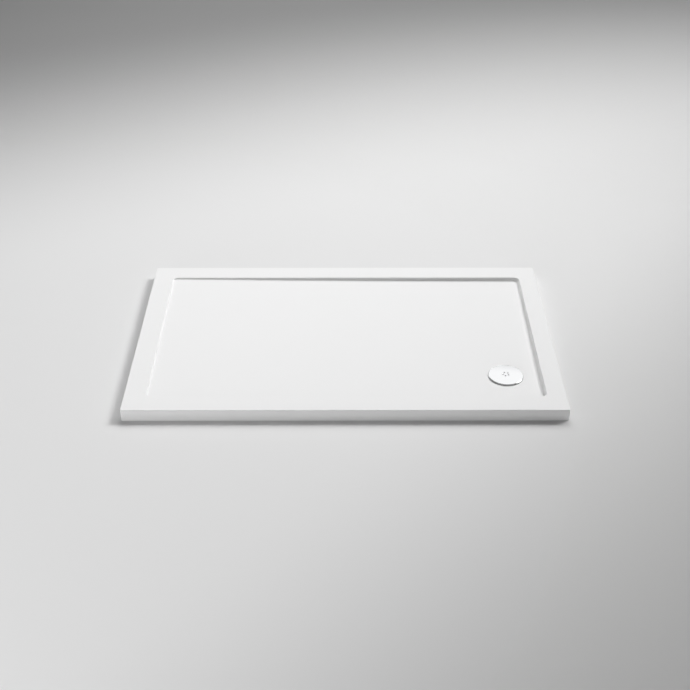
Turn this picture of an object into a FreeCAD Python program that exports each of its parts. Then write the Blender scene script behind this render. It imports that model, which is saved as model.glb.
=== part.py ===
import FreeCAD, Part
import Sketcher
import math
import os
from types import SimpleNamespace

# A slimline shower tray: a white acrylic-capped sheet bonded over a cast stone-resin core,
# with a fast-flow waste clamped through its floor. Frame: +Z up, +Y to the back, origin at
# the middle of the tray's underside. The waste's own sketches are drawn about its axis.

SIZES = {
    # tray outline
    "tray_length": 1400,
    "tray_width": 900,
    "tray_height": 40,
    "corner_radius": 6,
    "top_edge_radius": 2,
    "sheet_thickness": 3.2,
    # rim widths round the standing area
    "rim_left": 70,
    "rim_right": 61,
    "rim_front": 75,
    "rim_back": 75,
    # step from the rim down to the floor
    "recess_corner_radius": 18,
    "wall_draft": 20,
    "lip_radius": 2,
    "cove_radius": 5,
    "cove_share": 0.9,
    # floor: one shallow cone that falls from a low step at the furthest corner to the waste
    "waste_from_right": 176,
    "waste_from_front": 212,
    "waste_floor": 22.5,
    "far_step": 5.5,
    # seat and hole for the waste, and the relief under it
    "waste_hole_radius": 45,
    "seat_width": 10.5,
    "seat_depth": 7.5,
    "seat_lip_bevel": 2.5,
    "relief_depth": 5,
    "relief_margin": 4,
    # clamping flange
    "flange_seat_gap": 1.5,
    "flange_thickness": 3,
    "flange_edge_bevel": 0.9,
    "flange_border": 9.5,
    "flange_reach_in": 13.2,
    "flange_collar_wall": 1.4,
    "flange_collar_depth": 3,
    "screw_land_drop": 1.2,
    # seals under and over the tray's floor
    "flange_seal_thickness": 2,
    "flange_seal_inset": 0.5,
    "body_seal_thickness": 3,
    "body_seal_inset": 1,
    "seal_hole_clearance": 0.5,
    # clamping screws
    "screw_count": 4,
    "screw_from_throat": 6.15,
    "screw_shank_radius": 2,
    "screw_head_radius": 3.9,
    "screw_head_depth": 2.2,
    "screw_length": 25,
    "screw_hole_clearance": 0.3,
    # trap body
    "trap_flange_reach": 11.5,
    "trap_flange_thickness": 3.5,
    "trap_wall": 2.5,
    "trap_hole_clearance": 1,
    "throat_top_gap": 3,
    "base_under_neck": 2.5,
    "chamber_base_bevel": 5,
    "shelf_top": -3,
    "shelf_thickness": 3,
    "socket_wall": 2.9,
    "socket_rise": 6.5,
    "socket_inset": 0.5,
    "insert_seat": -4,
    "insert_lip": 1.8,
    "boss_radius": 4.2,
    "boss_gap": 0.3,
    "boss_hole_spare": 2,
    "gusset_count": 8,
    "gusset_thickness": 2,
    "gusset_reach": 10.5,
    "gusset_drop": 15,
    # outlet of the trap, along -X
    "outlet_pipe_radius": 20,
    "pipe_clearance": 0.4,
    "pipe_stop": 2.5,
    "outlet_neck_wall": 5,
    "outlet_neck_reach": 10,
    "outlet_end_wall": 4.1,
    "outlet_end_length": 28,
    "mouth_taper_depth": 5,
    "mouth_taper_rise": 3,
    # outlet seal, slip ring and nut
    "seal_stand_out": 1.5,
    "slip_ring_thickness": 1.5,
    "slip_ring_gap": 0.3,
    "nut_headroom": 0.5,
    "nut_wall": 5,
    "nut_end_taper": 1.5,
    "nut_end_wall": 3,
    "nut_skirt_length": 19,
    "nut_hole_clearance": 0.8,
    "nut_grip_count": 12,
    "nut_grip_radius": 3,
    "nut_grip_depth": 1.3,
    "nut_grip_end": 3,
    "nut_edge_bevel": 0.8,
    # lift-out insert: dip tube, O-ring and cup
    "insert_clearance": 0.3,
    "dip_bore_radius": 16.5,
    "dip_wall": 1.8,
    "dip_gap": 5.2,
    "collar_height": 6.6,
    "collar_edge_bevel": 0.7,
    "funnel_drop": 5,
    "funnel_wall": 1.6,
    "ring_cord_radius": 1.2,
    "ring_clearance": 0.1,
    "ring_sides": 8,
    "ring_groove_base": 2.1,
    "fin_count": 3,
    "fin_thickness": 1.6,
    "fin_gap": 0.05,
    "fin_end_gap": 3,
    "grip_thickness": 2.4,
    "grip_root": 1,
    "grip_foot_inset": 4.2,
    "grip_top_half": 13,
    "grip_height": 15,
    "grip_round": 4,
    "grip_window_half": 7,
    "grip_window_height": 6,
    "grip_window_round": 2,
    "cup_clearance": 1,
    "cup_wall": 1.8,
    "cup_floor_gap": 4.5,
    "cup_base_bevel": 5,
    "overflow_gap": 5,
    # domed cover
    "cover_overlap": 1.5,
    "cover_wall": 2,
    "cover_floor_gap": 2.5,
    "cover_rim_height": 2.6,
    "cover_crown": 2.6,
    "cover_edge_bevel": 0.9,
    "cover_foot_bevel": 0.5,
    "spigot_clearance": 1,
    "spigot_wall": 1.8,
    "spigot_depth": 6.5,
    "spigot_leg_half": 6,
    "spigot_window_top_gap": 0.5,
    "rib_thickness": 1.8,
    "rib_count": 4,
    "rib_rest_gap": 0.3,
    "rib_foot_inset": 3,
    "rib_foot_length": 5.5,
    "rib_arch": 2,
    "rib_skirt_gap": 0.5,
    "vent_count": 5,
    "vent_radius": 1.5,
    "vent_circle_radius": 9.6,
    "vent_first_angle": 41.8,
}

DOC = FreeCAD.newDocument("ShowerTray")
SHEET = DOC.addObject("Spreadsheet::Sheet", "Dims")
for row, (alias, number) in enumerate(SIZES.items(), start=1):
    SHEET.set(f"A{row}", alias)
    SHEET.set(f"B{row}", str(number))
    SHEET.setAlias(f"B{row}", alias)
DOC.recompute()


class Size:
    """A size of the model: its number, and the sheet expression that the number comes from."""

    def __init__(self, number, text):
        self.number = number
        self.text = text

    @staticmethod
    def of(value):
        return value if isinstance(value, Size) else Size(float(value), repr(float(value)))

    def join(self, other, sign, number):
        return Size(number, f"({self.text} {sign} {Size.of(other).text})")

    def __add__(self, other):
        return self.join(other, "+", self.number + Size.of(other).number)

    def __sub__(self, other):
        return self.join(other, "-", self.number - Size.of(other).number)

    def __mul__(self, other):
        return self.join(other, "*", self.number * Size.of(other).number)

    def __truediv__(self, other):
        return self.join(other, "/", self.number / Size.of(other).number)

    def __neg__(self):
        return Size(-self.number, f"(0 - {self.text})")


def distance(across, along):
    number = math.hypot(across.number, along.number)
    return Size(number, f"hypot({across.text}; {along.text})")


def cosine(angle):
    return Size(math.cos(math.radians(angle.number)), f"cos({angle.text} * 1deg)")


def sine(angle):
    return Size(math.sin(math.radians(angle.number)), f"sin({angle.text} * 1deg)")


S = SimpleNamespace(**{name: Size(float(SHEET.get(name)), f"Dims.{name}") for name in SIZES})


# --- sizes that several pieces share ---------------------------------------------------------
# Each is measured from the piece that sets it: the waste from the tray's corner, the flange,
# the cover and the trap from the hole, and the outlet, its nut and its drop from the pipe.

rim_x_low = S.rim_left - S.tray_length / 2
rim_x_high = S.tray_length / 2 - S.rim_right
rim_y_low = S.rim_front - S.tray_width / 2
rim_y_high = S.tray_width / 2 - S.rim_back
waste_x = S.tray_length / 2 - S.waste_from_right
waste_y = S.waste_from_front - S.tray_width / 2
furthest_corner = distance(waste_x - rim_x_low, rim_y_high - waste_y)
floor_fall = (S.tray_height - S.far_step - S.waste_floor) / furthest_corner

seat_radius = S.waste_hole_radius + S.seat_width
seat_z = S.waste_floor - S.seat_depth
flange_radius = seat_radius - S.flange_seat_gap
flange_opening = S.waste_hole_radius - S.flange_reach_in
flange_bottom = seat_z + S.flange_seal_thickness
flange_top = flange_bottom + S.flange_thickness
land_top = flange_top - S.screw_land_drop

throat_radius = S.waste_hole_radius - S.trap_hole_clearance
screw_x = throat_radius - S.screw_from_throat
screw_end = land_top - S.screw_length
trap_flange_radius = S.waste_hole_radius + S.trap_flange_reach
trap_flange_top = S.relief_depth - S.body_seal_thickness

pipe_bore = S.outlet_pipe_radius + S.pipe_clearance
neck_bore = S.outlet_pipe_radius - S.pipe_stop
neck_radius = neck_bore + S.outlet_neck_wall
outlet_radius = pipe_bore + S.outlet_end_wall
outlet_start = throat_radius + S.outlet_neck_reach
outlet_mouth = outlet_start + S.outlet_end_length
seal_face = outlet_mouth + S.seal_stand_out
slip_face = seal_face + S.slip_ring_thickness
nut_end = slip_face + S.nut_end_wall
nut_radius = outlet_radius + S.nut_wall
outlet_z = -(nut_radius + S.nut_headroom)
trap_bottom = outlet_z - neck_radius - S.base_under_neck


def bind(thing, **sizes):
    """Tie properties to sizes; a double underscore stands for a dot in the property's path."""
    for path, size in sizes.items():
        thing.setExpression(path.replace("__", "."), Size.of(size).text)
    return thing


def place(thing, x=0, y=0, z=0):
    return bind(thing, Placement__Base__x=x, Placement__Base__y=y, Placement__Base__z=z)


def at_waste(thing):
    return place(thing, waste_x, waste_y)


# --- sketches and features ---------------------------------------------------------------


def new_body(name):
    body = DOC.addObject("PartDesign::Body", name)
    body.Label = name
    return body


def new_sketch(body, name, role, offset=0):
    """A sketch on one of the body's own planes, moved along the plane's normal by offset."""
    sketch = body.newObject("Sketcher::SketchObject", name)
    plane = next(item for item in body.Origin.OriginFeatures if item.Role == role)
    sketch.AttachmentSupport = (plane, [""])
    sketch.MapMode = "FlatFace"
    return bind(sketch, AttachmentOffset__Base__z=offset)


def pin(sketch, geometry, point, x, y):
    """Hold a point at x and y, each bound to its size, or on the sketch's axis where it is 0."""
    for kind, axis, size in (("DistanceX", -2, x), ("DistanceY", -1, y)):
        if Size.of(size).number == 0:
            sketch.addConstraint(Sketcher.Constraint("PointOnObject", geometry, point, axis))
        else:
            number = Size.of(size).number
            index = sketch.addConstraint(
                Sketcher.Constraint(kind, -1, 1, geometry, point, number)
            )
            sketch.setExpression(f"Constraints[{index}]", Size.of(size).text)


def circle(sketch, x, y, radius):
    centre = FreeCAD.Vector(Size.of(x).number, Size.of(y).number, 0)
    index = sketch.addGeometry(Part.Circle(centre, FreeCAD.Vector(0, 0, 1), radius.number))
    pin(sketch, index, 3, x, y)
    bound = sketch.addConstraint(Sketcher.Constraint("Radius", index, radius.number))
    sketch.setExpression(f"Constraints[{bound}]", radius.text)


def rounding(before, corner, after, radius):
    """The arc that rounds a corner, and whether it turns to the left."""
    back = (before - corner).normalize()
    ahead = (after - corner).normalize()
    half = back.getAngle(ahead) / 2
    left = (corner - before).cross(after - corner).z > 0
    centre = corner + (back + ahead).normalize() * (radius / math.sin(half))
    start = corner + back * (radius / math.tan(half))
    end = corner + ahead * (radius / math.tan(half))
    first, last = (start, end) if left else (end, start)
    angles = [math.atan2(point.y - centre.y, point.x - centre.x) for point in (first, last)]
    round_edge = Part.Circle(centre, FreeCAD.Vector(0, 0, 1), radius)
    return Part.ArcOfCircle(round_edge, angles[0], angles[1]), left, start, end


def dome_edge(start, end):
    """The arc from start to end about the sketch's upright axis, and whether it runs left."""
    rise = (end.x**2 + end.y**2 - start.x**2 - start.y**2) / (2 * (end.y - start.y))
    centre = FreeCAD.Vector(0, rise, 0)
    left = (start - centre).cross(end - centre).z > 0
    first, last = (start, end) if left else (end, start)
    angles = [math.atan2(point.y - centre.y, point.x) for point in (first, last)]
    edge = Part.Circle(centre, FreeCAD.Vector(0, 0, 1), (start - centre).Length)
    return Part.ArcOfCircle(edge, angles[0], angles[1]), left


def outline(sketch, corners, domes=()):
    """A closed outline through corners of (x, y) or (x, y, rounding radius).

    The edges whose index is in domes are arcs centred on the vertical axis; the others are
    straight. A rounded corner keeps its own point, on both of its edges.
    """
    count = len(corners)
    points = [FreeCAD.Vector(Size.of(c[0]).number, Size.of(c[1]).number, 0) for c in corners]
    rounds = {}
    for i, corner in enumerate(corners):
        if len(corner) == 3:
            before, after = points[i - 1], points[(i + 1) % count]
            rounds[i] = rounding(before, points[i], after, corner[2].number)
    edges = []
    for i in range(count):
        j = (i + 1) % count
        start = rounds[i][3] if i in rounds else points[i]
        end = rounds[j][2] if j in rounds else points[j]
        if i in domes:
            arc, left = dome_edge(start, end)
            index = sketch.addGeometry(arc)
            sketch.addConstraint(Sketcher.Constraint("PointOnObject", index, 3, -2))
            edges.append((index, 1, 2) if left else (index, 2, 1))
        else:
            edges.append((sketch.addGeometry(Part.LineSegment(start, end)), 1, 2))
    for i, corner in enumerate(corners):
        before, _, before_end = edges[i - 1]
        after, after_start, _ = edges[i]
        if i not in rounds:
            sketch.addConstraint(
                Sketcher.Constraint("Coincident", before, before_end, after, after_start)
            )
            pin(sketch, after, after_start, corner[0], corner[1])
            continue
        arc, left, _, _ = rounds[i]
        index = sketch.addGeometry(arc)
        first, last = (1, 2) if left else (2, 1)
        sketch.addConstraint(Sketcher.Constraint("Tangent", before, before_end, index, first))
        sketch.addConstraint(Sketcher.Constraint("Tangent", index, last, after, after_start))
        bound = sketch.addConstraint(Sketcher.Constraint("Radius", index, corner[2].number))
        sketch.setExpression(f"Constraints[{bound}]", corner[2].text)
        point = sketch.addGeometry(Part.Point(points[i]), True)
        sketch.addConstraint(Sketcher.Constraint("PointOnObject", point, 1, before))
        sketch.addConstraint(Sketcher.Constraint("PointOnObject", point, 1, after))
        pin(sketch, point, 1, corner[0], corner[1])


def turned(body, kind, name, corners, domes=(), axis="V_Axis", beside=None, level=None):
    """A profile on the upright plane, turned right round an axis.

    The axis is one of the sketch's own, or the upright line at x = beside, or the level line
    at z = level.
    """
    sketch = new_sketch(body, f"{name}_sketch", "XZ_Plane")
    outline(sketch, corners, domes)
    if beside is not None or level is not None:
        axis = "Axis0"
        upright = level is None
        x, y = (beside, corners[0][1]) if upright else (corners[0][0], level)
        start = FreeCAD.Vector(Size.of(x).number, Size.of(y).number, 0)
        end = start + (FreeCAD.Vector(0, 1, 0) if upright else FreeCAD.Vector(1, 0, 0))
        line = sketch.addGeometry(Part.LineSegment(start, end), True)
        sketch.addConstraint(Sketcher.Constraint("Vertical" if upright else "Horizontal", line))
        pin(sketch, line, 1, x, y)
    feature = body.newObject(f"PartDesign::{kind}", name)
    feature.Profile = sketch
    feature.ReferenceAxis = (sketch, [axis])
    feature.Angle = 360
    return feature


def revolved(name, corners, domes=(), axis="V_Axis"):
    body = new_body(name)
    turned(body, "Revolution", f"{name}_turning", corners, domes, axis)
    return body


def extruded(body, kind, name, sketch, length, flip=False, both=False):
    """A Pad or Pocket of a sketch; both spreads its length to the two sides of the sketch."""
    feature = body.newObject(f"PartDesign::{kind}", name)
    feature.Profile = sketch
    feature.Reversed = flip
    feature.Midplane = both
    return bind(feature, Length=length)


def repeated(body, feature, count, role="Z_Axis"):
    """The feature repeated evenly round one of the body's axes."""
    pattern = body.newObject("PartDesign::PolarPattern", f"{feature.Name}_ring")
    axis = next(item for item in body.Origin.OriginFeatures if item.Role == role)
    pattern.Originals = [feature]
    pattern.Axis = (axis, [""])
    pattern.Angle = 360
    bind(pattern, Occurrences=count)
    body.Tip = pattern
    return pattern


# --- tray --------------------------------------------------------------------------------
# The sheet and the core are cut from two forms, one inside the other by the sheet's thickness.

fall_reach = S.tray_length + S.tray_width
bevel_end = seat_radius + S.seat_lip_bevel
NEAR = 0.001  # two places this close count as one


def round_rectangle(sketch, x_low, x_high, y_low, y_high, radius):
    corners = [(x_low, y_low), (x_high, y_low), (x_high, y_high), (x_low, y_high)]
    outline(sketch, [corner + (radius,) for corner in corners])


def outer_block(name, inset):
    body = new_body(f"{name}_block")
    sketch = new_sketch(body, f"{name}_outline", "XY_Plane")
    half_length = S.tray_length / 2 - inset
    half_width = S.tray_width / 2 - inset
    radius = S.corner_radius - inset
    round_rectangle(sketch, -half_length, half_length, -half_width, half_width, radius)
    extruded(body, "Pad", f"{name}_pad", sketch, S.tray_height - inset)
    return body


def standing_area(name, inset):
    """The drafted opening inside the rim, deeper than the floor."""
    top = S.tray_height - inset
    grow = inset * (Size.of(1) - sine(S.wall_draft)) / cosine(S.wall_draft)
    body = new_body(f"{name}_opening")
    sketch = new_sketch(body, f"{name}_opening_outline", "XY_Plane", top)
    round_rectangle(
        sketch,
        rim_x_low - grow,
        rim_x_high + grow,
        rim_y_low - grow,
        rim_y_high + grow,
        S.recess_corner_radius + grow,
    )
    pad = extruded(body, "Pad", f"{name}_opening_pad", sketch, top + S.relief_depth, flip=True)
    bind(pad, TaperAngle=-S.wall_draft)
    return body


def fall_and_seat(name, inset, seat_edge):
    """All that lies over the falling floor, over the waste's seat and in the waste's hole.

    seat_edge gives the corners between the seat's wall and the floor.
    """
    low = -S.relief_depth
    floor = S.waste_floor - inset
    seat = seat_z - inset
    high = S.tray_height + fall_reach * floor_fall
    corners = [
        (0, low),
        (S.waste_hole_radius, low),
        (S.waste_hole_radius, seat),
        (seat_edge[0][0], seat),
        *seat_edge,
        (fall_reach, floor + fall_reach * floor_fall),
        (fall_reach, high),
        (0, high),
    ]
    return at_waste(revolved(f"{name}_fall", corners))


def joined(kind, name, base, tool):
    result = DOC.addObject(f"Part::{kind}", name)
    result.Base = base
    result.Tool = tool
    return result


def edge_fillet(name, base, rounds):
    """A fillet of several radii: rounds pairs a radius with the test that picks its edges."""
    DOC.recompute()
    fillet = DOC.addObject("Part::Fillet", name)
    fillet.Base = base
    fillet.Edges = [
        (i, radius.number, radius.number)
        for i, edge in enumerate(base.Shape.Edges, start=1)
        for radius, chosen in rounds
        if chosen(edge)
    ]
    return fillet


def in_opening(edge):
    """Is the edge within the opening's outline at the rim, and outside the waste's seat?"""
    middle = edge.valueAt((edge.FirstParameter + edge.LastParameter) / 2)
    within_x = rim_x_low.number - NEAR < middle.x < rim_x_high.number + NEAR
    within_y = rim_y_low.number - NEAR < middle.y < rim_y_high.number + NEAR
    apart = math.hypot(middle.x - waste_x.number, middle.y - waste_y.number)
    return within_x and within_y and apart > bevel_end.number + NEAR


def flat_at(edge, z):
    return all(abs(point.z - z) < NEAR for point in edge.discretize(3))


def is_cove(edge, top):
    """Is the edge where a wall of the opening meets the floor, all of it below the rim?"""
    return in_opening(edge) and all(point.z < top - NEAR for point in edge.discretize(5))


def cove_limit():
    """The largest cove that the shallowest wall, at the corner furthest from the waste, holds."""
    draft = math.radians(S.wall_draft.number)
    room = S.far_step.number / math.cos(draft) / math.tan((math.pi / 2 - draft) / 2)
    return S.cove_share.number * room - S.lip_radius.number


def tray_form(name, inset, seat_edge):
    recess = DOC.addObject("Part::MultiCommon", f"{name}_recess")
    recess.Shapes = [standing_area(name, inset), fall_and_seat(name, inset, seat_edge)]
    return joined("Cut", f"{name}_form", outer_block(name, inset), recess)


def floor_at(radius):
    return S.waste_floor + radius * floor_fall


# The outside: every edge that a foot or a hand meets is rounded, and the sheet is trimmed
# square along the bottom.
tray_top = S.tray_height.number
seat_bevel = [
    (seat_radius, floor_at(seat_radius) - S.seat_lip_bevel),
    (bevel_end, floor_at(bevel_end)),
]
outside = tray_form("outside", Size.of(0), seat_bevel)
cove = Size.of(min(S.cove_radius.number, cove_limit()))
outer_form = edge_fillet(
    "rounded_outside",
    outside,
    [
        (cove, lambda edge: is_cove(edge, tray_top)),
        (S.lip_radius, lambda edge: in_opening(edge) and flat_at(edge, tray_top)),
        (S.top_edge_radius, lambda edge: not in_opening(edge) and flat_at(edge, tray_top)),
    ],
)

# The inside of the sheet, and so the top of the core: the same form, one sheet thickness in.
inner_wall = seat_radius + S.sheet_thickness
seat_corner = [(inner_wall, floor_at(inner_wall) - S.sheet_thickness)]
inner_form = tray_form("inside", S.sheet_thickness, seat_corner)
tray_shell = joined("Cut", "tray_shell", outer_form, inner_form)

# The relief in the underside clears all of the waste that stands below it, out to the nut.
relief = DOC.addObject("Part::Cylinder", "trap_relief")
bind(relief, Radius=nut_end + S.relief_margin, Height=S.relief_depth * 2)
place(relief, waste_x, waste_y, -S.relief_depth)
tray_core = joined("Cut", "tray_core", inner_form, relief)

# --- seals that clamp the tray's floor -----------------------------------------------------
# One rubber ring lies on the seat under the flange, the other hangs under the tray's floor.

seal_bore = S.waste_hole_radius + S.seal_hole_clearance


def flat_ring(name, bore, radius, low, high):
    return at_waste(revolved(name, [(bore, low), (radius, low), (radius, high), (bore, high)]))


flange_seal_radius = flange_radius - S.flange_seal_inset
flange_seal = flat_ring("flange_seal", seal_bore, flange_seal_radius, seat_z, flange_bottom)
body_seal_radius = trap_flange_radius - S.body_seal_inset
body_seal = flat_ring("body_seal", seal_bore, body_seal_radius, trap_flange_top, S.relief_depth)

# --- clamping flange -----------------------------------------------------------------------
# A moulded ring with a raised border, a sunk land for the screws and a short guiding collar.

collar_outside = flange_opening + S.flange_collar_wall
collar_bottom = flange_bottom - S.flange_collar_depth
land_radius = flange_radius - S.flange_border

waste_flange = revolved(
    "waste_flange",
    [
        (flange_opening, collar_bottom),
        (collar_outside, collar_bottom),
        (collar_outside, flange_bottom),
        (flange_radius, flange_bottom),
        (flange_radius, flange_top - S.flange_edge_bevel),
        (flange_radius - S.flange_edge_bevel, flange_top),
        (land_radius, flange_top),
        (land_radius - S.screw_land_drop, land_top),
        (flange_opening, land_top),
    ],
)

hole_radius = S.screw_shank_radius + S.screw_hole_clearance
sink_radius = S.screw_head_radius + S.screw_hole_clearance
sink_depth = S.screw_head_depth + S.screw_hole_clearance
countersink = turned(
    waste_flange,
    "Groove",
    "countersink",
    [
        (screw_x, collar_bottom),
        (screw_x + hole_radius, collar_bottom),
        (screw_x + hole_radius, land_top - sink_depth),
        (screw_x + sink_radius, land_top),
        (screw_x + sink_radius, flange_top),
        (screw_x, flange_top),
    ],
    beside=screw_x,
)
repeated(waste_flange, countersink, S.screw_count)
at_waste(waste_flange)

# --- clamping screws -----------------------------------------------------------------------
# Stainless countersunk screws, one in each boss of the trap.

flange_screws = new_body("flange_screws")
one_screw = turned(
    flange_screws,
    "Revolution",
    "screw",
    [
        (screw_x, screw_end),
        (screw_x + S.screw_shank_radius, screw_end),
        (screw_x + S.screw_shank_radius, land_top - S.screw_head_depth),
        (screw_x + S.screw_head_radius, land_top),
        (screw_x, land_top),
    ],
    beside=screw_x,
)
repeated(flange_screws, one_screw, S.screw_count)
at_waste(flange_screws)

# --- trap body -----------------------------------------------------------------------------
# One moulding: a flange under the tray, a throat up through its hole, a shelf with the socket
# for the insert and the screw bosses, the chamber, and the outlet with its threaded end.

chamber_bore = throat_radius - S.trap_wall
shelf_bottom = S.shelf_top - S.shelf_thickness
socket_bore = flange_opening - S.socket_inset
trap_flange_bottom = trap_flange_top - S.trap_flange_thickness
throat_top = flange_bottom - S.throat_top_gap

trap_body = revolved(
    "trap_body",
    [
        (0, trap_bottom),
        (throat_radius - S.chamber_base_bevel, trap_bottom),
        (throat_radius, trap_bottom + S.chamber_base_bevel),
        (throat_radius, trap_flange_bottom),
        (trap_flange_radius, trap_flange_bottom),
        (trap_flange_radius, trap_flange_top),
        (throat_radius, trap_flange_top),
        (throat_radius, throat_top),
        (0, throat_top),
    ],
)

neck_sketch = new_sketch(trap_body, "outlet_neck_sketch", "YZ_Plane")
circle(neck_sketch, 0, outlet_z, neck_radius)
extruded(trap_body, "Pad", "outlet_neck", neck_sketch, outlet_start, flip=True)
end_sketch = new_sketch(trap_body, "outlet_end_sketch", "YZ_Plane", -outlet_start)
circle(end_sketch, 0, outlet_z, outlet_radius)
extruded(trap_body, "Pad", "outlet_end", end_sketch, S.outlet_end_length, flip=True)

gusset_sketch = new_sketch(trap_body, "gusset_sketch", "XZ_Plane")
gusset_root = throat_radius - S.trap_wall / 2
outline(
    gusset_sketch,
    [
        (gusset_root, trap_flange_bottom - S.gusset_drop),
        (throat_radius, trap_flange_bottom - S.gusset_drop),
        (throat_radius + S.gusset_reach, trap_flange_bottom),
        (gusset_root, trap_flange_bottom),
    ],
)
gusset = extruded(trap_body, "Pad", "gusset", gusset_sketch, S.gusset_thickness, both=True)
repeated(trap_body, gusset, S.gusset_count)

turned(
    trap_body,
    "Groove",
    "chamber_and_throat",
    [
        (0, trap_bottom + S.trap_wall),
        (chamber_bore - S.chamber_base_bevel, trap_bottom + S.trap_wall),
        (chamber_bore, trap_bottom + S.trap_wall + S.chamber_base_bevel),
        (chamber_bore, shelf_bottom),
        (socket_bore - S.insert_lip, shelf_bottom),
        (socket_bore - S.insert_lip, S.insert_seat),
        (socket_bore, S.insert_seat),
        (socket_bore, S.shelf_top + S.socket_rise),
        (socket_bore + S.socket_wall, S.shelf_top + S.socket_rise),
        (socket_bore + S.socket_wall, S.shelf_top),
        (chamber_bore, S.shelf_top),
        (chamber_bore, throat_top + S.trap_wall),
        (0, throat_top + S.trap_wall),
    ],
)

boss_top = flange_bottom - S.boss_gap
boss_sketch = new_sketch(trap_body, "boss_sketch", "XY_Plane", shelf_bottom)
circle(boss_sketch, screw_x, 0, S.boss_radius)
boss = extruded(trap_body, "Pad", "boss", boss_sketch, boss_top - shelf_bottom)
repeated(trap_body, boss, S.screw_count)
boss_hole_depth = boss_top - screw_end + S.boss_hole_spare
boss_hole_sketch = new_sketch(trap_body, "boss_hole_sketch", "XY_Plane", boss_top)
circle(boss_hole_sketch, screw_x, 0, S.screw_shank_radius)
boss_hole = extruded(trap_body, "Pocket", "boss_hole", boss_hole_sketch, boss_hole_depth)
repeated(trap_body, boss_hole, S.screw_count)

taper_start = outlet_mouth - S.mouth_taper_depth
taper_radius = pipe_bore + S.mouth_taper_rise
bore_sketch = new_sketch(trap_body, "outlet_bore_sketch", "YZ_Plane")
circle(bore_sketch, 0, outlet_z, neck_bore)
extruded(trap_body, "Pocket", "outlet_bore", bore_sketch, outlet_mouth)
turned(
    trap_body,
    "Groove",
    "outlet_socket",
    [
        (-outlet_start, outlet_z),
        (-outlet_start, outlet_z + pipe_bore),
        (-taper_start, outlet_z + pipe_bore),
        (-outlet_mouth, outlet_z + taper_radius),
        (-(outlet_mouth + S.trap_wall), outlet_z + taper_radius),
        (-(outlet_mouth + S.trap_wall), outlet_z),
    ],
    level=outlet_z,
)
at_waste(trap_body)

# --- outlet's seal, slip ring and nut --------------------------------------------------------
# Turned about the outlet's own axis. The wedge of the seal fills the mouth's taper, and the nut
# draws the slip ring against it.

nut_start = slip_face - S.nut_skirt_length


def at_outlet(thing):
    return place(thing, waste_x, waste_y, outlet_z)


def about_outlet(name, corners):
    """A ring turned about the outlet's axis, through corners of (distance out, radius)."""
    turned_corners = [(-corner[0],) + corner[1:] for corner in corners]
    return at_outlet(revolved(name, turned_corners, axis="H_Axis"))


outlet_seal = about_outlet(
    "outlet_seal",
    [
        (taper_start, pipe_bore),
        (outlet_mouth, taper_radius),
        (seal_face, taper_radius),
        (seal_face, pipe_bore),
    ],
)
slip_bore = pipe_bore + S.slip_ring_gap
slip_radius = outlet_radius - S.slip_ring_gap
outlet_slip_ring = about_outlet(
    "outlet_slip_ring",
    [
        (seal_face, slip_bore),
        (seal_face, slip_radius),
        (slip_face, slip_radius),
        (slip_face, slip_bore),
    ],
)
nut_bore = S.outlet_pipe_radius + S.nut_hole_clearance
outlet_nut = about_outlet(
    "outlet_nut",
    [
        (nut_start, outlet_radius),
        (nut_start, nut_radius - S.nut_edge_bevel),
        (nut_start + S.nut_edge_bevel, nut_radius),
        (slip_face, nut_radius),
        (nut_end, nut_radius - S.nut_end_taper),
        (nut_end, nut_bore),
        (slip_face, nut_bore),
        (slip_face, outlet_radius),
    ],
)
grip_sketch = new_sketch(outlet_nut, "nut_grip_sketch", "YZ_Plane", -nut_start)
circle(grip_sketch, 0, nut_radius + S.nut_grip_radius - S.nut_grip_depth, S.nut_grip_radius)
grip_length = S.nut_skirt_length - S.nut_grip_end
nut_grip = extruded(outlet_nut, "Pocket", "nut_grip", grip_sketch, grip_length)
repeated(outlet_nut, nut_grip, S.nut_grip_count, "X_Axis")

# --- lift-out insert -------------------------------------------------------------------------
# A funnel whose collar rests on the socket's lip, with a dip tube under it that stands in a cup
# of water. Three fins carry the cup, and a pierced plate across the funnel is its finger grip.

collar_radius = socket_bore - S.insert_clearance
collar_top = S.insert_seat + S.collar_height
lip_bore = socket_bore - S.insert_lip
groove_low = S.insert_seat + S.ring_groove_base
groove_high = groove_low + S.ring_cord_radius * 2
ring_centre = socket_bore - S.ring_clearance - S.ring_cord_radius
groove_floor = ring_centre - S.ring_cord_radius
cup_outside = lip_bore - S.cup_clearance
cup_bore = cup_outside - S.cup_wall
cup_bottom = trap_bottom + S.trap_wall + S.cup_floor_gap
cup_rim = shelf_bottom - S.overflow_gap
dip_outside = S.dip_bore_radius + S.dip_wall
dip_bottom = cup_bottom + S.cup_wall + S.dip_gap
funnel_mouth = groove_floor - S.funnel_wall
funnel_edge = S.insert_seat + S.funnel_wall

dip_tube = revolved(
    "dip_tube",
    [
        (S.dip_bore_radius, dip_bottom),
        (dip_outside, dip_bottom),
        (dip_outside, S.insert_seat - S.funnel_drop),
        (lip_bore - S.insert_clearance, S.insert_seat),
        (collar_radius, S.insert_seat),
        (collar_radius, groove_low),
        (groove_floor, groove_low),
        (groove_floor, groove_high),
        (collar_radius, groove_high),
        (collar_radius, collar_top - S.collar_edge_bevel),
        (collar_radius - S.collar_edge_bevel, collar_top),
        (funnel_mouth, collar_top),
        (funnel_mouth, funnel_edge),
        (S.dip_bore_radius, funnel_edge - S.funnel_drop),
    ],
)

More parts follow.
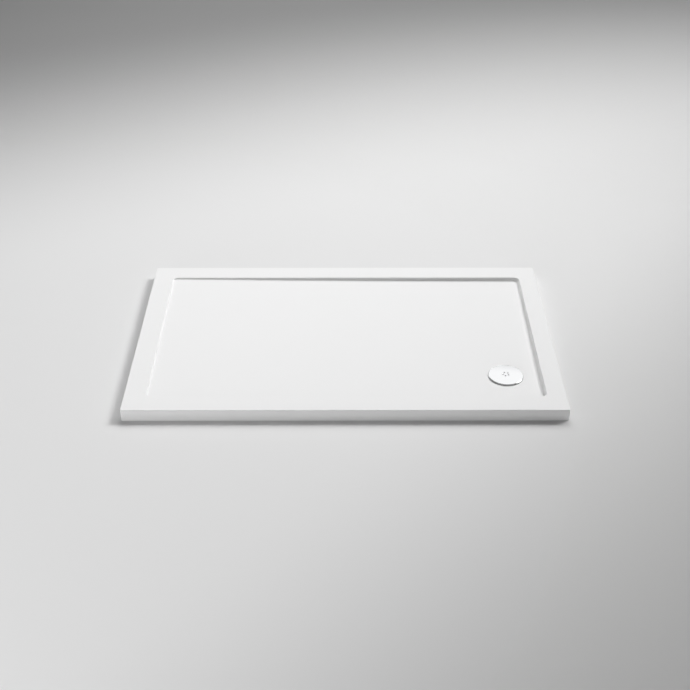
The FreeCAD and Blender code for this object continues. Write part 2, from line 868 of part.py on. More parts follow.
fin_sketch = new_sketch(dip_tube, "fin_sketch", "XZ_Plane")
fin_low = dip_bottom + S.fin_end_gap
fin_high = cup_rim - S.fin_end_gap
fin_reach = cup_bore - S.fin_gap
fin_root = dip_outside - S.dip_wall / 2
outline(
    fin_sketch,
    [(fin_root, fin_low), (fin_reach, fin_low), (fin_reach, fin_high), (fin_root, fin_high)],
)
fin = extruded(dip_tube, "Pad", "fin", fin_sketch, S.fin_thickness, both=True)
repeated(dip_tube, fin, S.fin_count)

grip_plate_sketch = new_sketch(dip_tube, "grip_plate_sketch", "XZ_Plane")
grip_foot_half = funnel_mouth - S.grip_foot_inset
grip_foot = S.insert_seat - S.grip_root
grip_shoulder = S.insert_seat + S.grip_root
grip_top = S.insert_seat + S.grip_height
outline(
    grip_plate_sketch,
    [
        (-grip_foot_half, grip_foot),
        (grip_foot_half, grip_foot),
        (grip_foot_half, grip_shoulder),
        (S.grip_top_half, grip_top, S.grip_round),
        (-S.grip_top_half, grip_top, S.grip_round),
        (-grip_foot_half, grip_shoulder),
    ],
)
extruded(dip_tube, "Pad", "grip_plate", grip_plate_sketch, S.grip_thickness, both=True)
window_sketch = new_sketch(dip_tube, "grip_window_sketch", "XZ_Plane")
window_top = grip_top - S.grip_round
window_half = S.grip_window_half
window_bottom = window_top - S.grip_window_height
round_rectangle(
    window_sketch, -window_half, window_half, window_bottom, window_top, S.grip_window_round
)
window_length = S.grip_thickness * 2
extruded(dip_tube, "Pocket", "grip_window", window_sketch, window_length, both=True)
at_waste(dip_tube)

ring_z = (groove_low + groove_high) / 2
half_side = Size.of(180 / SIZES["ring_sides"])
ring_reach = S.ring_cord_radius / cosine(half_side)
ring_angles = [half_side * (2 * side + 1) for side in range(SIZES["ring_sides"])]
siphon_o_ring = revolved(
    "siphon_o_ring",
    [
        (ring_centre + ring_reach * cosine(angle), ring_z + ring_reach * sine(angle))
        for angle in ring_angles
    ],
)
at_waste(siphon_o_ring)

cup_corner = S.cup_wall * (Size.of(math.sqrt(2)) - 1)
siphon_cup = revolved(
    "siphon_cup",
    [
        (0, cup_bottom),
        (cup_outside - S.cup_base_bevel, cup_bottom),
        (cup_outside, cup_bottom + S.cup_base_bevel),
        (cup_outside, cup_rim),
        (cup_bore, cup_rim),
        (cup_bore, cup_bottom + S.cup_base_bevel + cup_corner),
        (cup_outside - S.cup_base_bevel - cup_corner, cup_bottom + S.cup_wall),
        (0, cup_bottom + S.cup_wall),
    ],
)
at_waste(siphon_cup)

# --- domed cover -----------------------------------------------------------------------------
# A plated dome with a short skirt. A slotted spigot locates it in the flange's opening, and four
# ribs carry it on the flange's border, so that water runs in under its rim all round.

cover_foot = S.waste_floor + S.cover_floor_gap
cover_shoulder = cover_foot + S.cover_rim_height
cover_crest = cover_shoulder + S.cover_crown
cover_radius = seat_radius + S.cover_overlap
cover_inside = cover_radius - S.cover_wall
spigot_outside = flange_opening - S.spigot_clearance
spigot_inside = spigot_outside - S.spigot_wall
spigot_bottom = land_top - S.spigot_depth
ceiling = cover_crest - S.cover_wall
rib_rest = flange_top + S.rib_rest_gap

waste_cover = revolved(
    "waste_cover",
    [
        (0, ceiling),
        (spigot_outside, ceiling),
        (cover_inside, cover_shoulder - S.cover_wall),
        (cover_inside, cover_foot),
        (cover_radius - S.cover_foot_bevel, cover_foot),
        (cover_radius, cover_foot + S.cover_foot_bevel),
        (cover_radius, cover_shoulder - S.cover_edge_bevel),
        (cover_radius - S.cover_edge_bevel, cover_shoulder),
        (0, cover_crest),
    ],
    domes=(7,),
)
turned(
    waste_cover,
    "Revolution",
    "spigot",
    [
        (spigot_inside, spigot_bottom),
        (spigot_outside, spigot_bottom),
        (spigot_outside, ceiling),
        (spigot_inside, ceiling),
    ],
)
slot_sketch = new_sketch(waste_cover, "spigot_slot_sketch", "XY_Plane", spigot_bottom)
near, far = S.spigot_leg_half, spigot_outside + S.spigot_wall
outline(slot_sketch, [(near, near), (far, near), (far, far), (near, far)])
slot_height = cover_foot - S.spigot_window_top_gap - spigot_bottom
slot = extruded(waste_cover, "Pocket", "spigot_slot", slot_sketch, slot_height, flip=True)
repeated(waste_cover, slot, S.rib_count)

rib_sketch = new_sketch(waste_cover, "rib_sketch", "XZ_Plane")
rib_root = spigot_outside - S.spigot_wall / 2
rib_foot_end = flange_radius - S.rib_foot_inset
outline(
    rib_sketch,
    [
        (rib_root, rib_rest + S.rib_arch),
        (rib_foot_end - S.rib_foot_length, rib_rest),
        (rib_foot_end, rib_rest),
        (cover_inside - S.rib_skirt_gap, cover_shoulder - S.cover_wall / 2),
        (rib_root, ceiling),
    ],
)
rib = extruded(waste_cover, "Pad", "rib", rib_sketch, S.rib_thickness, both=True)
repeated(waste_cover, rib, S.rib_count)

vent_sketch = new_sketch(waste_cover, "vent_sketch", "XY_Plane", cover_crest)
vent_x = S.vent_circle_radius * cosine(S.vent_first_angle)
vent_y = S.vent_circle_radius * sine(S.vent_first_angle)
circle(vent_sketch, vent_x, vent_y, S.vent_radius)
vent = extruded(waste_cover, "Pocket", "vent", vent_sketch, S.cover_wall * 2)
repeated(waste_cover, vent, S.vent_count)
at_waste(waste_cover)

# --- check and write -------------------------------------------------------------------------

PARTS = [
    tray_core,
    tray_shell,
    flange_seal,
    waste_flange,
    body_seal,
    trap_body,
    flange_screws,
    outlet_seal,
    outlet_slip_ring,
    outlet_nut,
    dip_tube,
    siphon_o_ring,
    siphon_cup,
    waste_cover,
]

DOC.recompute()
failed = [thing.Name for thing in DOC.Objects if {"Invalid", "Error"} & set(thing.State)]
failed += [part.Label for part in PARTS if part.Shape.isNull() or not part.Shape.isValid()]
if failed:
    raise RuntimeError(f"these didn't build: {failed}")

os.makedirs("parts", exist_ok=True)
for part in PARTS:
    part.Shape.exportStep(f"parts/{part.Label}.step")
    print(f"{part.Label}: {len(part.Shape.Solids)} solid(s), {part.Shape.Volume:.0f} mm3")
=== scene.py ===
import math

import bmesh
import bpy
import mathutils
import numpy as np
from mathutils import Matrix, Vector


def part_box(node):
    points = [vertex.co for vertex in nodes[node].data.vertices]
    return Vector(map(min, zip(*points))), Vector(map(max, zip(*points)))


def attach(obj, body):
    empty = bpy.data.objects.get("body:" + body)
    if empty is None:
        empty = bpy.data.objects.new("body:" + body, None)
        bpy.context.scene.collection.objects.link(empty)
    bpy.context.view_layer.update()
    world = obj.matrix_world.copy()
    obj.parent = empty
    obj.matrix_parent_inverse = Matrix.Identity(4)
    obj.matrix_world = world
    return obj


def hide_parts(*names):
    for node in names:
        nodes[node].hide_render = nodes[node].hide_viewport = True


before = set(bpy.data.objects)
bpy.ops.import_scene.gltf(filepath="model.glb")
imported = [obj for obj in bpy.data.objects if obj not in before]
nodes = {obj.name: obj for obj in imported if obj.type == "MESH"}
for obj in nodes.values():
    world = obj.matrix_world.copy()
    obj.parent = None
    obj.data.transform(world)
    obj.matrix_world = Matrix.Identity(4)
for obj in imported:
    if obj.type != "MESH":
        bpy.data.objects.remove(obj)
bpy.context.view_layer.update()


# --- camera -------------------------------------------------------------------------------------
# The tray is seen from in front and above, square to its front edge, from about four metres
# away. The picture is square. Camera, floor and lamps are placed in metres.

PICTURE_SIDE = 690
CAMERA_PLACE = (-0.0046, -3.473, 2.250)
CAMERA_PITCH_DOWN = 33.07
CAMERA_TURN = -0.08
CAMERA_FOCUS_PIXELS = 1204.3
CAMERA_SEES_TO = 100

camera_data = bpy.data.cameras.new("camera")
camera_data.lens = camera_data.sensor_width * CAMERA_FOCUS_PIXELS / PICTURE_SIDE
camera_data.clip_end = CAMERA_SEES_TO
camera = bpy.data.objects.new("camera", camera_data)
camera.location = CAMERA_PLACE
camera.rotation_euler = (math.radians(90 - CAMERA_PITCH_DOWN), 0, math.radians(CAMERA_TURN))
bpy.context.scene.collection.objects.link(camera)
bpy.context.scene.camera = camera
bpy.context.scene.view_settings.view_transform = "Standard"


# --- floor --------------------------------------------------------------------------------------
# A studio floor in pale matt paint. Painted shade greys it towards the right and behind, where
# the light falls off. Far from the tray it passes into the grey of the backdrop, for camera rays
# alone. It is left open under the tray, where a real floor has the pocket for the trap.

FLOOR_REACH = 18.0
FLOOR_UNDER_TRAY = 0.03
FLOOR_COLOUR = "#E7E7E7"
# Painted shade: the floor's colour where less light falls, to the right and, darker, behind.
FLOOR_RIGHT_PAINTED_SHADE = "#B9B9B9"
FLOOR_BACK_PAINTED_SHADE = "#959595"
BACKDROP_COLOUR = "#B8B8B8"
# Where the painted shade to the right and behind, and the fade into the backdrop, start and end.
FLOOR_SHADES = {
    # name: (what is measured, direction or middle that it is measured by, start and end)
    "right": ("DOT_PRODUCT", (0.80, -0.62, 0.0), (0.32, 1.80)),
    "back": ("DOT_PRODUCT", (-0.44, 1.0, 0.0), (1.03, 3.88)),
    "far": ("DISTANCE", (0.0, 1.7, 0.0), (3.3, 6.0)),
}


def linear(hex_colour):
    """The linear colour of an sRGB hex value: the usual curve, with its straight foot."""
    parts = [int(hex_colour[i : i + 2], 16) / 255 for i in (1, 3, 5)]
    curved = [c / 12.92 if c <= 0.04045 else ((c + 0.055) / 1.055) ** 2.4 for c in parts]
    return (*curved, 1.0)


def add(material, kind, inputs, **settings):
    """Adds a node; an input that is a (node, output) pair is linked, any other is set."""
    tree = material.node_tree
    node = tree.nodes.new(kind)
    for name, value in settings.items():
        setattr(node, name, value)
    for socket, value in inputs.items():
        if isinstance(value, tuple) and isinstance(value[0], bpy.types.Node):
            tree.links.new(value[0].outputs[value[1]], node.inputs[socket])
        else:
            node.inputs[socket].default_value = value
    return node


def new_material(name):
    """A material whose nodes are all still to be added."""
    material = bpy.data.materials.new(name)
    material.use_nodes = True
    material.node_tree.nodes.clear()
    return material


def new_piece(name, mesh):
    """An object at the origin that shows this mesh."""
    piece = bpy.data.objects.new(name, mesh)
    bpy.context.scene.collection.objects.link(piece)
    return piece


low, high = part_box("tray_shell")
inner = np.array([[low.x, low.y], [high.x, low.y], [high.x, high.y], [low.x, high.y]])
inner = inner - np.sign(inner) * FLOOR_UNDER_TRAY
outer = np.sign(inner) * FLOOR_REACH
floor_points = np.column_stack([np.concatenate([inner, outer]), np.zeros(2 * len(inner))])
floor_sides = [(i, 4 + i, 4 + (i + 1) % 4, (i + 1) % 4) for i in range(4)]
floor_mesh = bpy.data.meshes.new("studio_floor")
floor_mesh.from_pydata(floor_points, [], floor_sides)
floor = new_piece("studio_floor", floor_mesh)

matt_floor = new_material("matt_painted_floor")
place = add(matt_floor, "ShaderNodeTexCoord", {})
share = {}
for shade, (operation, measured_by, (start, end)) in FLOOR_SHADES.items():
    reach = add(
        matt_floor,
        "ShaderNodeVectorMath",
        {0: (place, "Object"), 1: measured_by},
        operation=operation,
    )
    share[shade] = add(
        matt_floor,
        "ShaderNodeMapRange",
        {"Value": (reach, "Value"), "From Min": start, "From Max": end},
        interpolation_type="SMOOTHSTEP",
    )
# The floor's paint, darkened by painted shade towards the right and then behind.
front_paint_and_shade = add(
    matt_floor,
    "ShaderNodeMix",
    {
        "Factor": (share["right"], "Result"),
        "A": linear(FLOOR_COLOUR),
        "B": linear(FLOOR_RIGHT_PAINTED_SHADE),
    },
    data_type="RGBA",
)
paint_and_shade = add(
    matt_floor,
    "ShaderNodeMix",
    {
        "Factor": (share["back"], "Result"),
        "A": (front_paint_and_shade, "Result"),
        "B": linear(FLOOR_BACK_PAINTED_SHADE),
    },
    data_type="RGBA",
)
painted = add(
    matt_floor,
    "ShaderNodeBsdfPrincipled",
    {"Base Color": (paint_and_shade, "Result"), "Roughness": 0.6, "Specular IOR Level": 0.4},
)
backdrop = add(matt_floor, "ShaderNodeEmission", {"Color": linear(BACKDROP_COLOUR)})
ray = add(matt_floor, "ShaderNodeLightPath", {})
fading = add(
    matt_floor,
    "ShaderNodeMath",
    {0: (share["far"], "Result"), 1: (ray, "Is Camera Ray")},
    operation="MULTIPLY",
)
faded = add(
    matt_floor,
    "ShaderNodeMixShader",
    {0: (fading, "Value"), 1: (painted, "BSDF"), 2: (backdrop, "Emission")},
)
add(matt_floor, "ShaderNodeOutputMaterial", {"Surface": (faded, "Shader")})
floor.data.materials.append(matt_floor)


# --- studio light -------------------------------------------------------------------------------
# The key lamp stands far off, high behind the right-hand corner, so the shadows fall forward and
# to the left. A wide one behind and two weak ones in front soften them. Gloss and metal show only
# the key lamp and the room, which is bright high up behind the tray and dim elsewhere.

LAMPS = {
    # name: (place, side of its square, watts, whether it shows in gloss, what it faces)
    "key": ((5.79, 4.06, 7.07), 3.6, 72, True, (-1.6, -0.5, 0.0)),
    "back": ((0.0, 4.05, 4.65), 3.4, 202, False, (0.0, 0.0, 0.0)),
    "front_left": ((-2.2, -3.0, 0.7), 1.2, 34, False, (0.0, 0.0, 0.0)),
    "front_high": ((-2.8, -4.2, 2.6), 2.6, 33, False, (0.0, 0.0, 0.0)),
}
KEY_SPREAD = math.radians(50)
ROOM_LOW = 0.12
ROOM_HEIGHT_SPAN = (0.0, 0.55)
ROOM_FRONT = 0.15
ROOM_DEPTH_SPAN = (0.45, 0.7)

for name, (stand, side, watts, in_gloss, facing) in LAMPS.items():
    lamp_data = bpy.data.lights.new(name, "AREA")
    lamp_data.shape = "SQUARE"
    lamp_data.size = side
    lamp_data.energy = watts
    lamp = bpy.data.objects.new(name, lamp_data)
    lamp.location = stand
    beam = mathutils.Vector(facing) - lamp.location
    lamp.rotation_euler = beam.to_track_quat("-Z", "Y").to_euler()
    lamp.visible_camera = False
    lamp.visible_glossy = in_gloss
    bpy.context.scene.collection.objects.link(lamp)
bpy.data.lights["key"].spread = KEY_SPREAD

studio = bpy.data.worlds.new("studio")
studio.use_nodes = True
studio.node_tree.nodes.clear()
way = add(studio, "ShaderNodeTexCoord", {})
axes = add(studio, "ShaderNodeSeparateXYZ", {"Vector": (way, "Generated")})
light_along = {}
for axis, (start, end), least in (
    ("Z", ROOM_HEIGHT_SPAN, ROOM_LOW),
    ("Y", ROOM_DEPTH_SPAN, ROOM_FRONT),
):
    light_along[axis] = add(
        studio,
        "ShaderNodeMapRange",
        {"Value": (axes, axis), "From Min": start, "From Max": end, "To Min": least},
        interpolation_type="SMOOTHSTEP",
    )
room = add(
    studio,
    "ShaderNodeMath",
    {0: (light_along["Z"], "Result"), 1: (light_along["Y"], "Result")},
    operation="MULTIPLY",
)
ray = add(studio, "ShaderNodeLightPath", {})
mirrored = add(
    studio, "ShaderNodeMath", {0: (ray, "Is Glossy Ray"), 1: (ray, "Is Transmission Ray")}
)
mirrored_room = add(
    studio,
    "ShaderNodeMath",
    {0: (room, "Value"), 1: (mirrored, "Value")},
    operation="MULTIPLY",
)
seen = add(
    studio,
    "ShaderNodeMath",
    {0: (ray, "Is Camera Ray"), 1: linear(BACKDROP_COLOUR)[0], 2: (mirrored_room, "Value")},
    operation="MULTIPLY_ADD",
)
glow = add(studio, "ShaderNodeBackground", {"Color": (1, 1, 1, 1), "Strength": (seen, "Value")})
add(studio, "ShaderNodeOutputWorld", {"Surface": (glow, "Background")})
bpy.context.scene.world = studio


# --- tray core ----------------------------------------------------------------------------------
# The body of the tray is cast from resin filled with crushed stone, and shows underneath and
# round the hole of the waste. It is matt, with grit of one to three millimetres in it. From
# here on every size is in mm.

MM = 0.001
GRIT_SIZE = 2.4
GRIT_RELIEF = 0.3
STAIN_SIZE = 90

filled_resin = new_material("cast_stone_resin")
place = add(filled_resin, "ShaderNodeTexCoord", {})
grit = add(
    filled_resin,
    "ShaderNodeTexVoronoi",
    {"Vector": (place, "Object"), "Scale": 1 / (GRIT_SIZE * MM), "Randomness": 1.0},
)
stains = add(
    filled_resin,
    "ShaderNodeTexNoise",
    {
        "Vector": (place, "Object"),
        "Scale": 1 / (STAIN_SIZE * MM),
        "Detail": 5.0,
        "Roughness": 0.6,
    },
)
stone_shade = add(filled_resin, "ShaderNodeSeparateColor", {"Color": (grit, "Color")})
grit_amount = add(
    filled_resin,
    "ShaderNodeMapRange",
    {"Value": (stone_shade, "Red"), "From Min": 0.55, "From Max": 1.0, "To Max": 0.7},
)
paste = add(
    filled_resin,
    "ShaderNodeMix",
    {"Factor": (stains, "Fac"), "A": linear("#A9A498"), "B": linear("#C6C1B6")},
    data_type="RGBA",
)
stone_colour = add(
    filled_resin,
    "ShaderNodeMix",
    {"Factor": (grit_amount, "Result"), "A": (paste, "Result"), "B": linear("#8C867A")},
    data_type="RGBA",
)
grit_bump = add(
    filled_resin,
    "ShaderNodeBump",
    {"Height": (grit, "Distance"), "Strength": 0.5, "Distance": GRIT_RELIEF * MM},
)
cast = add(
    filled_resin,
    "ShaderNodeBsdfPrincipled",
    {
        "Base Color": (stone_colour, "Result"),
        "Roughness": 0.85,
        "IOR": 1.52,
        "Normal": (grit_bump, "Normal"),
    },
)
add(filled_resin, "ShaderNodeOutputMaterial", {"Surface": (cast, "BSDF")})


def coat(node, material):
    """The CAD piece takes this material all over."""
    nodes[node].data.materials.clear()
    nodes[node].data.materials.append(material)


coat("tray_core", filled_resin)


# --- tray shell ---------------------------------------------------------------------------------
# The white skin is acrylic-capped ABS sheet, vacuum formed over the tray and bonded to the
# core: outer walls, rim, drafted recess with its cove, floor falling to the waste, and the seat
# round the hole. It is glossy with a faint ripple from the forming, and even in colour.

SHEET = 3.2
TRAY_TOP = 40.0
TRAY_CORNER = 6.0
TOP_EDGE = 2.0
RIM_LEFT, RIM_RIGHT = 70.0, 61.0
RIM_FRONT, RIM_BACK = 75.0, 75.0
RECESS_CORNER = 18.0
RECESS_DRAFT = 20
RECESS_LIP = 2.0
RECESS_COVE = 5.0
COVE_END_INSET = 9.7
FLOOR_AT_WASTE = 22.5
FLOOR_FALL = 0.009183
SEAT_RADIUS = 55.5
SEAT_LIP = 2.5
SEAT_HEIGHT = 15.0
SEAT_FILLET = 1.0
HOLE_RADIUS = 45.0
HOLE_EDGE = 0.4
FLAT_MARGIN = 0.6
RIM_STRIP = 25
WALL_ROWS = (0.1, 0.9)
FLOOR_ROWS = (0.015, 0.1, 0.3, 0.6, 0.9, 0.99)
UNDER_ROWS = (1, 0.5, 0)
ROUNDING_STEPS = 6
COVE_STEPS = 8
HOLE_EDGE_STEPS = 3
CORNER_STEPS = 12
COLUMN_STEP = math.radians(3)
RIPPLE_LENGTH = 11
RIPPLE_HEIGHT = 0.02
WIPE_MARK_SIZE = 160
WELD = 0.001
SHARP = math.radians(40)


def box_in_mm(node):
    """The lowest and the highest corner of a CAD piece's box, as rows."""
    return np.array([tuple(corner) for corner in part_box(node)]) / MM


def surface(name, *shells):
    """An object from closed shells. Each shell is a list of grids of points in mm, rows by
    columns, joined in quads and welded where they meet. It is turned outwards by the sign of
    the volume that it encloses. All is smooth but for the edges past the sharp angle."""
    mesh = bpy.data.meshes.new(name)
    whole = bmesh.new()
    for grids in shells:
        faces, count = [], 0
        for grid in grids:
            index = count + np.arange(grid[..., 0].size).reshape(grid.shape[:2])
            corners = (index[:-1, :-1], index[:-1, 1:], index[1:, 1:], index[1:, :-1])
            faces.append(np.stack(corners, axis=-1).reshape(-1, 4))
            count += index.size
        points = np.concatenate([grid.reshape(-1, 3) for grid in grids])
        mesh.clear_geometry()
        mesh.from_pydata(points * MM, [], np.concatenate(faces).tolist())
        shell = bmesh.new()
        shell.from_mesh(mesh)
        bmesh.ops.remove_doubles(shell, verts=shell.verts, dist=WELD * MM)
        bmesh.ops.dissolve_degenerate(shell, edges=shell.edges, dist=WELD * MM)
        bmesh.ops.recalc_face_normals(shell, faces=shell.faces)
        if shell.calc_volume(signed=True) < 0:
            bmesh.ops.reverse_faces(shell, faces=shell.faces)
        shell.to_mesh(mesh)
        shell.free()
        whole.from_mesh(mesh)
    whole.to_mesh(mesh)
    whole.free()
    mesh.shade_smooth()
    mesh.set_sharp_from_angle(angle=SHARP)
    return new_piece(name, mesh)


def arc(across, height, radius, start, end, steps=ROUNDING_STEPS):
    """Rows of an arc in a profile: its centre plus the radius at even angles, in degrees."""
    angles = np.radians(np.linspace(start, end, steps + 1))
    return [(across + radius * np.cos(a), height + radius * np.sin(a)) for a in angles]


def corner_centres(box, radius):
    """The four centres of a rectangle's rounded corners, in turn from the front left."""
    (x_low, y_low), (x_high, y_high) = box[0] + radius, box[1] - radius
    return np.array([(x_low, y_low), (x_high, y_low), (x_high, y_high), (x_low, y_high)])


def cross(a, b):
    """The upright part of the cross product of level directions."""
    return a[..., 0] * b[..., 1] - a[..., 1] * b[..., 0]


tray_box = box_in_mm("tray_shell")[:, :2]
recess_box = tray_box + np.array([[RIM_LEFT, RIM_FRONT], [-RIM_RIGHT, -RIM_BACK]])
tray_centres = corner_centres(tray_box, TRAY_CORNER)
recess_centres = corner_centres(recess_box, RECESS_CORNER)
waste = box_in_mm("waste_cover").mean(axis=0)[:2]

# Each column runs from the foot of the outer wall over the rim to the waste, at an even angle
# round the waste. It starts at a share of a side, or at a turn round a corner.
tray_base, recess_base, outward = [], [], []
for side in range(4):
    after = (side + 1) % 4
    turn = math.radians(90 * side - 90)
    straight = np.array([math.cos(turn), math.sin(turn)])
    ends = recess_centres[[side, after]] + straight * RECESS_CORNER - waste
    angles = np.unwrap(np.arctan2(ends[:, 1], ends[:, 0]))
    count = max(2, math.ceil((angles[1] - angles[0]) / COLUMN_STEP))
    rays = np.linspace(angles[0], angles[1], count + 1)
    rays = np.column_stack([np.cos(rays), np.sin(rays)])
    along_side = (-cross(ends[0], rays) / cross(ends[1] - ends[0], rays))[:, None]
    bend = turn + np.radians(np.linspace(0, 90, CORNER_STEPS + 1))[1:-1]
    for centres, base in ((tray_centres, tray_base), (recess_centres, recess_base)):
        base.append(centres[side] + along_side * (centres[after] - centres[side]))
        base.append(np.repeat(centres[[after]], len(bend), axis=0))
    outward.append(np.repeat([straight], count + 1, axis=0))
    outward.append(np.column_stack([np.cos(bend), np.sin(bend)]))
tray_base, recess_base, outward = map(np.concatenate, (tray_base, recess_base, outward))
each_column = np.ones(len(outward))


def on_tray(inset, height):
    """A row at this inset from the outer wall: corner centre plus the reduced radius outwards."""
    return np.column_stack([tray_base + outward * (TRAY_CORNER - inset), height * each_column])


def on_recess(inset, height):
    """A row at this inset from the recess's edge, which may differ along the row."""
    radius = (RECESS_CORNER - inset * each_column)[:, None]
    return np.column_stack([recess_base + outward * radius, height * each_column])


def round_waste(radius, height, edge_row):
    """A row on a circle round the waste, each point on the same ray as the edge row's."""
    ray_out = edge_row[:, :2] - waste
    ring = waste + ray_out / np.linalg.norm(ray_out, axis=1)[:, None] * radius
    return np.column_stack([ring, height * each_column])


def on_floor(share, thickness, edge_row, ring_radius):
    """A row part of the way from the edge row to the ring round the waste. Its height grows
    evenly with the distance from the waste, less the thickness."""
    ring = round_waste(ring_radius, 0, edge_row)[:, :2]
    level = edge_row[:, :2] + share * (ring - edge_row[:, :2])
    distance = np.linalg.norm(level - waste, axis=1)
    return np.column_stack([level, FLOOR_AT_WASTE + FLOOR_FALL * distance - thickness])


draft = math.radians(RECESS_DRAFT)
tangent = math.tan((math.pi / 2 - draft) / 2)
cove_ends = on_recess(COVE_END_INSET, 0)[:, :2]
foot_height = FLOOR_AT_WASTE + FLOOR_FALL * np.linalg.norm(cove_ends - waste, axis=1)
foot_inset = (TRAY_TOP - foot_height) * math.tan(draft)
lip_inset = -RECESS_LIP * tangent
under_inset = SHEET * math.tan(draft) - SHEET / math.cos(draft)

rows = [on_tray(0, height) for height in (0, FLAT_MARGIN, TRAY_TOP / 2)]
rows += [on_tray(0, TRAY_TOP - TOP_EDGE - FLAT_MARGIN)]
rows += [
    on_tray(inset, height)
    for inset, height in arc(TOP_EDGE, TRAY_TOP - TOP_EDGE, -TOP_EDGE, 0, -90)
]
rows += [on_tray(TOP_EDGE + FLAT_MARGIN, TRAY_TOP)]
rows += [on_recess(lip_inset - gap, TRAY_TOP) for gap in (RIM_STRIP, FLAT_MARGIN)]
rows += [
    on_recess(inset, height)
    for inset, height in arc(lip_inset, TRAY_TOP - RECESS_LIP, RECESS_LIP, 90, RECESS_DRAFT)
]
wall_top = TRAY_TOP - RECESS_LIP * (1 - math.sin(draft))
wall_foot = foot_height + RECESS_COVE * (1 - math.sin(draft))
for down in WALL_ROWS:
    height = wall_top + down * (wall_foot - wall_top)
    rows.append(on_recess((TRAY_TOP - height) * math.tan(draft), height))
cove_middle = (foot_inset + RECESS_COVE * tangent, foot_height + RECESS_COVE)
rows += [
    on_recess(inset, height)
    for inset, height in arc(*cove_middle, RECESS_COVE, 180 + RECESS_DRAFT, 270, COVE_STEPS)
]
edge_row = rows[-1]
seat_ring = SEAT_RADIUS + SEAT_LIP
seat_top = FLOOR_AT_WASTE + FLOOR_FALL * seat_ring
sheet_under = SEAT_HEIGHT - SHEET
rows += [on_floor(inward, 0, edge_row, seat_ring) for inward in FLOOR_ROWS]
turned_rows = arc(seat_ring, seat_top - SEAT_LIP, SEAT_LIP, 90, 180)
turned_rows += arc(SEAT_RADIUS - SEAT_FILLET, SEAT_HEIGHT + SEAT_FILLET, SEAT_FILLET, 0, -90)
turned_rows += [(HOLE_RADIUS + HOLE_EDGE + FLAT_MARGIN, SEAT_HEIGHT)]
hole_edge_middle = (HOLE_RADIUS + HOLE_EDGE, SEAT_HEIGHT - HOLE_EDGE)
turned_rows += arc(*hole_edge_middle, HOLE_EDGE, 90, 180, HOLE_EDGE_STEPS)
turned_rows += [(HOLE_RADIUS, sheet_under), (SEAT_RADIUS + SHEET, sheet_under)]
rows += [round_waste(radius, height, edge_row) for radius, height in turned_rows]
under_row = on_recess(foot_inset + under_inset, foot_height)
rows += [on_floor(inward, SHEET, under_row, SEAT_RADIUS + SHEET) for inward in UNDER_ROWS]
rows += [on_recess(under_inset, TRAY_TOP - SHEET)]
rows += [on_tray(SHEET, TRAY_TOP - SHEET), on_tray(SHEET, 0), on_tray(0, 0)]
sheet_points = np.stack(rows)
sheet_points = np.concatenate([sheet_points, sheet_points[:, :1]], axis=1)
tray_sheet = surface("formed_sheet", [sheet_points])
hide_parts("tray_shell")
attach(tray_sheet, "tray")

capped_sheet = new_material("vacuum_formed_white_acrylic")
place = add(capped_sheet, "ShaderNodeTexCoord", {})
ripple = add(
    capped_sheet,
    "ShaderNodeTexNoise",
    {"Vector": (place, "Object"), "Scale": 1 / (RIPPLE_LENGTH * MM), "Detail": 1.0},
)
ripple_bump = add(
    capped_sheet,
    "ShaderNodeBump",
    {"Height": (ripple, "Fac"), "Strength": 0.4, "Distance": RIPPLE_HEIGHT * MM},
)
wipe_marks = add(
    capped_sheet,
    "ShaderNodeTexNoise",
    {"Vector": (place, "Object"), "Scale": 1 / (WIPE_MARK_SIZE * MM), "Detail": 4.0},
)
gloss = add(
    capped_sheet,
    "ShaderNodeMapRange",
    {"Value": (wipe_marks, "Fac"), "To Min": 0.27, "To Max": 0.3},
)
tint = add(
    capped_sheet,
    "ShaderNodeMix",
    {"Factor": (wipe_marks, "Fac"), "A": linear("#F3F3F3"), "B": linear("#F4F4F4")},
    data_type="RGBA",
)
glossy_white = add(
    capped_sheet,
    "ShaderNodeBsdfPrincipled",
    {
        "Base Color": (tint, "Result"),
        "Roughness": (gloss, "Result"),
        "IOR": 1.49,
        "Normal": (ripple_bump, "Normal"),
    },
)
add(capped_sheet, "ShaderNodeOutputMaterial", {"Surface": (glossy_white, "BSDF")})
tray_sheet.data.materials.append(capped_sheet)


# --- seals --------------------------------------------------------------------------------------
# Black rubber rings, moulded, with a dull skin. They are pinched under the flange, under the
# tray's floor, round the dip tube and in the mouth of the outlet. The round one on the dip tube
# still shows the fine flash where its mould parted.

RING_CORD_RADIUS = 1.2
RING_FLASH = 0.07
RING_FLASH_SPREAD = 0.12
RING_STEPS = 120
RING_CORD_STEPS = 32
BLOOM_SIZE = 4
RUBBER_GRAIN_HEIGHT = 0.05

seal_rubber = new_material("moulded_black_rubber")
place = add(seal_rubber, "ShaderNodeTexCoord", {})
bloom = add(
    seal_rubber,
    "ShaderNodeTexNoise",
    {"Vector": (place, "Object"), "Scale": 1 / (BLOOM_SIZE * MM), "Detail": 4.0},
)
rubber_shade = add(
    seal_rubber,
    "ShaderNodeMix",
    {"Factor": (bloom, "Fac"), "A": linear("#1B1B1B"), "B": linear("#2C2C2B")},
    data_type="RGBA",
)
rubber_grain = add(
    seal_rubber,
    "ShaderNodeBump",
    {"Height": (bloom, "Fac"), "Strength": 0.3, "Distance": RUBBER_GRAIN_HEIGHT * MM},
)
dull_skin = add(
    seal_rubber,
    "ShaderNodeBsdfPrincipled",
    {
        "Base Color": (rubber_shade, "Result"),
        "Roughness": 0.62,
        "IOR": 1.52,
        "Normal": (rubber_grain, "Normal"),
    },
)
add(seal_rubber, "ShaderNodeOutputMaterial", {"Surface": (dull_skin, "BSDF")})
for node in ("flange_seal", "body_seal", "outlet_seal"):
    coat(node, seal_rubber)

